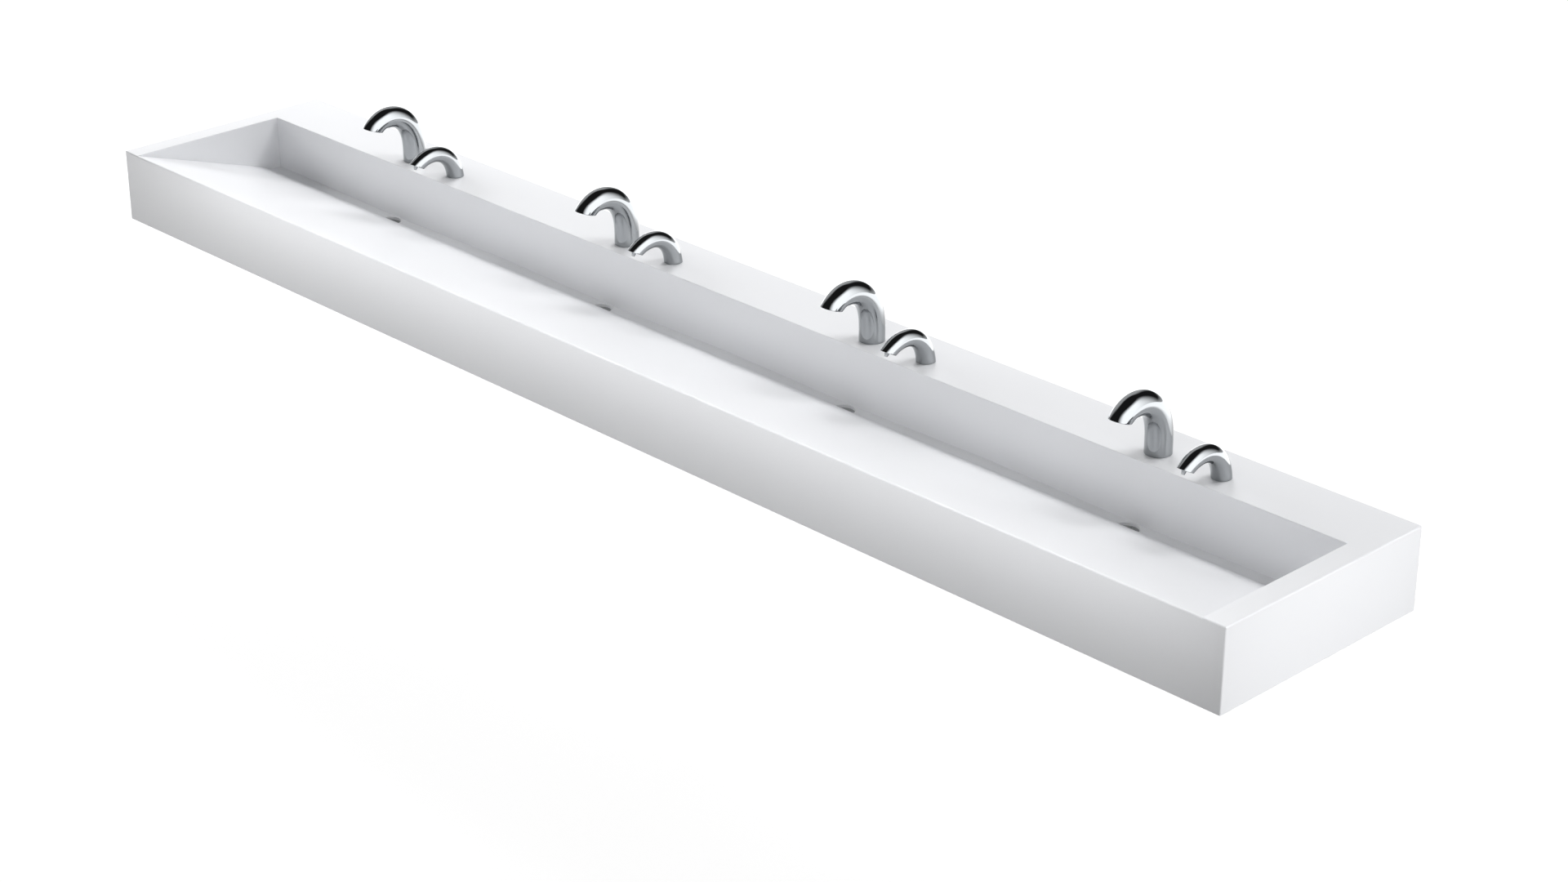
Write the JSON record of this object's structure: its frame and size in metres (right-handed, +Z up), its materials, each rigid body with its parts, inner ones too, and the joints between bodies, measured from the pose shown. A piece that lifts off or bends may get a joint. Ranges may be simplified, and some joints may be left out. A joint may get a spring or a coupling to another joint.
{
  "type": "trough sink",
  "caption": "Wall-hung trough sink in white solid surface: a sloped ramp with a rounded nose drains to a hidden trough, with arched sensor faucets and soap spouts on the rear deck.",
  "frame": {"origin": "the middle of the back top edge of the rear deck, on the wall's plane", "axes": "+X along the length to the user's right, +Y into the wall (the user stands at -Y), +Z up"},
  "size_m": [3.352, 0.56, 0.447],
  "materials": {
    "solid_surface": "satin white",
    "bracket_steel": "satin zinc",
    "drain_steel": "satin",
    "spout_chrome": "polished",
    "trim_chrome": "polished",
    "screw_steel": "satin",
    "seal_rubber": "matte black",
    "insert_plastic": "matte black",
    "lens_plastic": "gloss dark",
    "shank_brass": "satin",
    "housing_plastic": "matte grey",
    "nozzle_plastic": "satin clear",
    "bottle_plastic": "matte milky"
  },
  "bodies": {
    "sink": {"rear_deck": "solid_surface", "end_rim_left": "solid_surface", "end_rim_right": "solid_surface", "front_apron": "solid_surface", "end_panel_left": "solid_surface", "end_panel_right": "solid_surface", "basin_back_wall": "solid_surface", "basin_end_left": "solid_surface", "basin_end_right": "solid_surface", "ramp_panel": "solid_surface", "trough_floor": "solid_surface", "trough_front_strip": "solid_surface", "wall_bracket_1": "bracket_steel", "wall_bracket_2": "bracket_steel", "wall_bracket_3": "bracket_steel", "wall_bracket_4": "bracket_steel", "wall_bracket_5": "bracket_steel", "bracket_screws": "screw_steel", "drain_body_1": "drain_steel", "drain_body_2": "drain_steel", "drain_body_3": "drain_steel", "drain_body_4": "drain_steel", "drain_strainer_1": "drain_steel", "drain_strainer_2": "drain_steel", "drain_strainer_3": "drain_steel", "drain_strainer_4": "drain_steel", "drain_gaskets": "seal_rubber", "drain_screws": "screw_steel", "tailpieces": "trim_chrome", "tailpiece_nuts": "trim_chrome", "faucet_spout_1": "spout_chrome", "faucet_spout_2": "spout_chrome", "faucet_spout_3": "spout_chrome", "faucet_spout_4": "spout_chrome", "faucet_inserts": "insert_plastic", "aerators": "trim_chrome", "faucet_lenses": "lens_plastic", "faucet_gaskets": "seal_rubber", "faucet_shanks": "shank_brass", "faucet_washers": "seal_rubber", "faucet_nuts": "shank_brass", "valve_bodies": "housing_plastic", "soap_spout_1": "spout_chrome", "soap_spout_2": "spout_chrome", "soap_spout_3": "spout_chrome", "soap_spout_4": "spout_chrome", "soap_inserts": "insert_plastic", "soap_nozzles": "nozzle_plastic", "soap_lenses": "lens_plastic", "soap_gaskets": "seal_rubber", "soap_shanks": "shank_brass", "soap_nuts": "housing_plastic", "pump_housings": "housing_plastic", "dip_tubes": "nozzle_plastic"},
    "bottle_1": {"soap_bottle_1": "bottle_plastic"},
    "bottle_2": {"soap_bottle_2": "bottle_plastic"},
    "bottle_3": {"soap_bottle_3": "bottle_plastic"},
    "bottle_4": {"soap_bottle_4": "bottle_plastic"}
  },
  "joints": [
    {"name": "bottle_1_drop", "type": "slide", "parent": "sink", "child": "bottle_1", "axis": [0, 0, -1], "range_m": [0, 0.2]},
    {"name": "bottle_2_drop", "type": "slide", "parent": "sink", "child": "bottle_2", "axis": [0, 0, -1], "range_m": [0, 0.2]},
    {"name": "bottle_3_drop", "type": "slide", "parent": "sink", "child": "bottle_3", "axis": [0, 0, -1], "range_m": [0, 0.2]},
    {"name": "bottle_4_drop", "type": "slide", "parent": "sink", "child": "bottle_4", "axis": [0, 0, -1], "range_m": [0, 0.2]}
  ]
}
